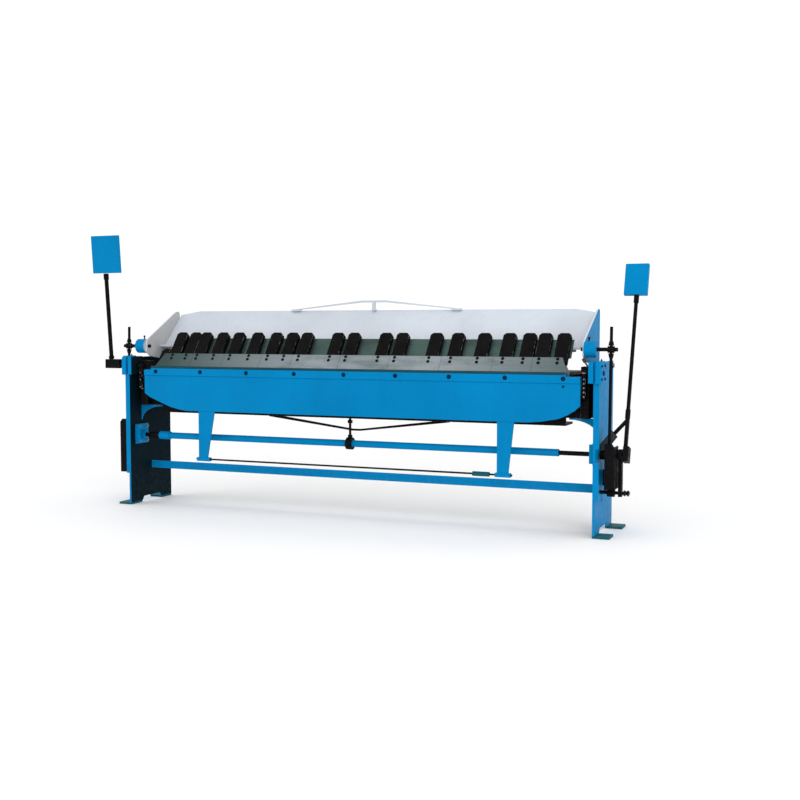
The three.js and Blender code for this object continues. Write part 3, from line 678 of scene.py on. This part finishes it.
def build_fingers():
    left = LINE_LEFT
    for index, (width, *holders) in enumerate(FINGERS):
        name = f"finger_{index + 1:02d}"
        gap = 0.4
        x0, x1 = left + gap, left + width - gap
        trims = (END_TRIM if index == 0 else 0, END_TRIM if index == len(FINGERS) - 1 else 0)
        group(f"{name}_nose", NOSE_STEEL, "clamp_beam",
              lambda bm: nose(bm, x0, x1, *trims), [name])

        def blocks(bm):
            for at_x in holders:
                holder(bm, left + at_x)

        def screws(bm):
            for at_x in holders:
                for s in (56.5, 81):
                    socket_head(bm, on_slope(left + at_x - 12, s, 0.0), OUT_SLOPE, 9 * MM,
                                1.8 * MM, 1.6 * MM, turn=at_x * 0.1)

        group(f"{name}_holders", BLACK_CAST, "clamp_beam", blocks)
        group(f"{name}_screws", OXIDE, "clamp_beam", screws)
        left += width


def build_beam():
    def cheek_paint_and_shade(sign):
        def choose(face):
            outward = (face.calc_center_median().x - at(sign * (CHEEK_OUT - 1), 0, 0).x) * sign > 0
            if outward:
                return 1
            # Faces turned inward take the darker grey as painted shade; the outer part is blue.
            return 2 if face.normal.x * sign < -0.9 else 0
        return choose

    def grease_cups(bm):
        for _, sign in SIDES:
            lathe(bm, at(sign * 1352, TRUNNION_Y, TRUNNION_Z + 41.5), Z_AXIS, [
                (0.0, 4 * MM), (12 * MM, 4 * MM), (14 * MM, 6 * MM),
                (20 * MM, 6 * MM), (22 * MM, 3 * MM)], 20)

    soften("clamp_girder", GREY, 2.0, segments=3)
    for side, sign in SIDES:
        soften(f"{side}_beam_cheek", GREY, 1.4, (BLUE, SHADED_GREY), cheek_paint_and_shade(sign))
    group("boss_grease_cups", OXIDE, "clamp_beam", grease_cups)
    rail_bar()
    group("left_rail_stop", BLACK_CAST, "clamp_beam", rail_stop)
    soften("clamp_truss", GREY, 1.2)
    build_fingers()


# ------------------------------------------------------------------ clamping linkage
def brace_cover(bm):
    """Bare steel clamp plate on the front of the lever's brace."""
    front, back = -18.5, -15.2
    outline = [(1414, 8), (1437, 29), (1485, 97), (1464, 120), (1414, 51)]
    through = leaned(TORQUE, LEVER_LEAN, 0, back, 0) - leaned(TORQUE, LEVER_LEAN, 0, front, 0)
    plate(bm, [leaned(TORQUE, LEVER_LEAN, x, front, h) for x, h in outline], through, 0.8 * MM)


def shaft_rod(bm, x0, x1, radius, chamfer, sides):
    """Round length of the clamping shaft from x0 to x1, in mm from the middle."""
    ends = [Vector((MID_X + x * MM, TORQUE.y, TORQUE.z)) for x in (x0, x1)]
    rounded_rod(bm, *ends, radius * MM, chamfer * MM, sides)


def build_linkage():
    for side, sign in SIDES:
        soften(f"{side}_trunnion_pin", BLACK, 0.9)
        soften(f"{side}_pull_rod", BLACK, 0.8)
        soften(f"{side}_lock_nut", BLACK, 1.0)
        soften(f"{side}_clamp_nut", BLACK, 1.0)
        soften(f"{side}_crank", BLACK, 1.2)

    def tube(bm):
        shaft_rod(bm, -1195, 1195, 19, 1.5, 56)
        shaft_rod(bm, -1262, -1190, 24, 2, 56)

    def shaft(bm):
        shaft_rod(bm, -1490, -1190.2, 12, 1.2, 40)
        shaft_rod(bm, 1190.2, 1560, 12, 1.2, 40)
        shaft_rod(bm, -1330, -1262.2, 18, 1.5, 48)

    group("torque_tube_blue", BLUE, "clamp_shaft", tube, ["torque_shaft"])
    group("torque_shaft_ends", BLACK, "clamp_shaft", shaft)
    soften("lever", BLACK, 1.3)
    soften("lever_weight", BLUE, 2.0, segments=3)

    def collars(bm):
        def up(height):
            return leaned(TORQUE, LEVER_LEAN, LEVER_X, 0, height)

        rounded_rod(bm, up(812), up(853), 13.5 * MM, 2 * MM)
        rounded_rod(bm, up(190), up(240), 13 * MM, 2 * MM)

    group("lever_collars", BLACK, "clamp_shaft", collars)
    group("lever_brace_cover", BRACE_GREY, "clamp_shaft", brace_cover)


# ------------------------------------------------------------------ studio
def make_studio():
    mesh = bpy.data.meshes.new("floor")
    size = 40.0
    bm = bmesh.new()
    corners = [(-size, -size, 0), (size, -size, 0), (size, size, 0), (-size, size, 0)]
    bm.faces.new([bm.verts.new(c) for c in corners])
    bm.to_mesh(mesh)
    bm.free()
    mesh.materials.append(make_floor_material())
    floor = bpy.data.objects.new("floor", mesh)
    bpy.context.scene.collection.objects.link(floor)

    world = bpy.data.worlds.new("studio")
    world.use_nodes = True
    world.node_tree.nodes["Background"].inputs["Color"].default_value = (1.0, 1.0, 1.0, 1.0)
    world.node_tree.nodes["Background"].inputs["Strength"].default_value = 1.05
    bpy.context.scene.world = world

    def lamp(name, place, target, size_x, size_y, power):
        data = bpy.data.lights.new(name, "AREA")
        data.shape = "RECTANGLE"
        data.size, data.size_y = size_x, size_y
        data.energy = power
        light = bpy.data.objects.new(name, data)
        light.location = place
        light.rotation_euler = (Vector(target) - Vector(place)).to_track_quat("-Z", "Y").to_euler()
        bpy.context.scene.collection.objects.link(light)

    lamp("key", (3.4, -4.6, 3.2), (0.4, 0, 0.8), 2.4, 2.0, 60)
    lamp("fill", (-4.0, -4.0, 2.4), (0, 0, 0.7), 3.0, 3.0, 12)
    bpy.context.scene.view_settings.view_transform = "Standard"


build_stand()
build_apron()
build_beam()
build_linkage()
make_studio()
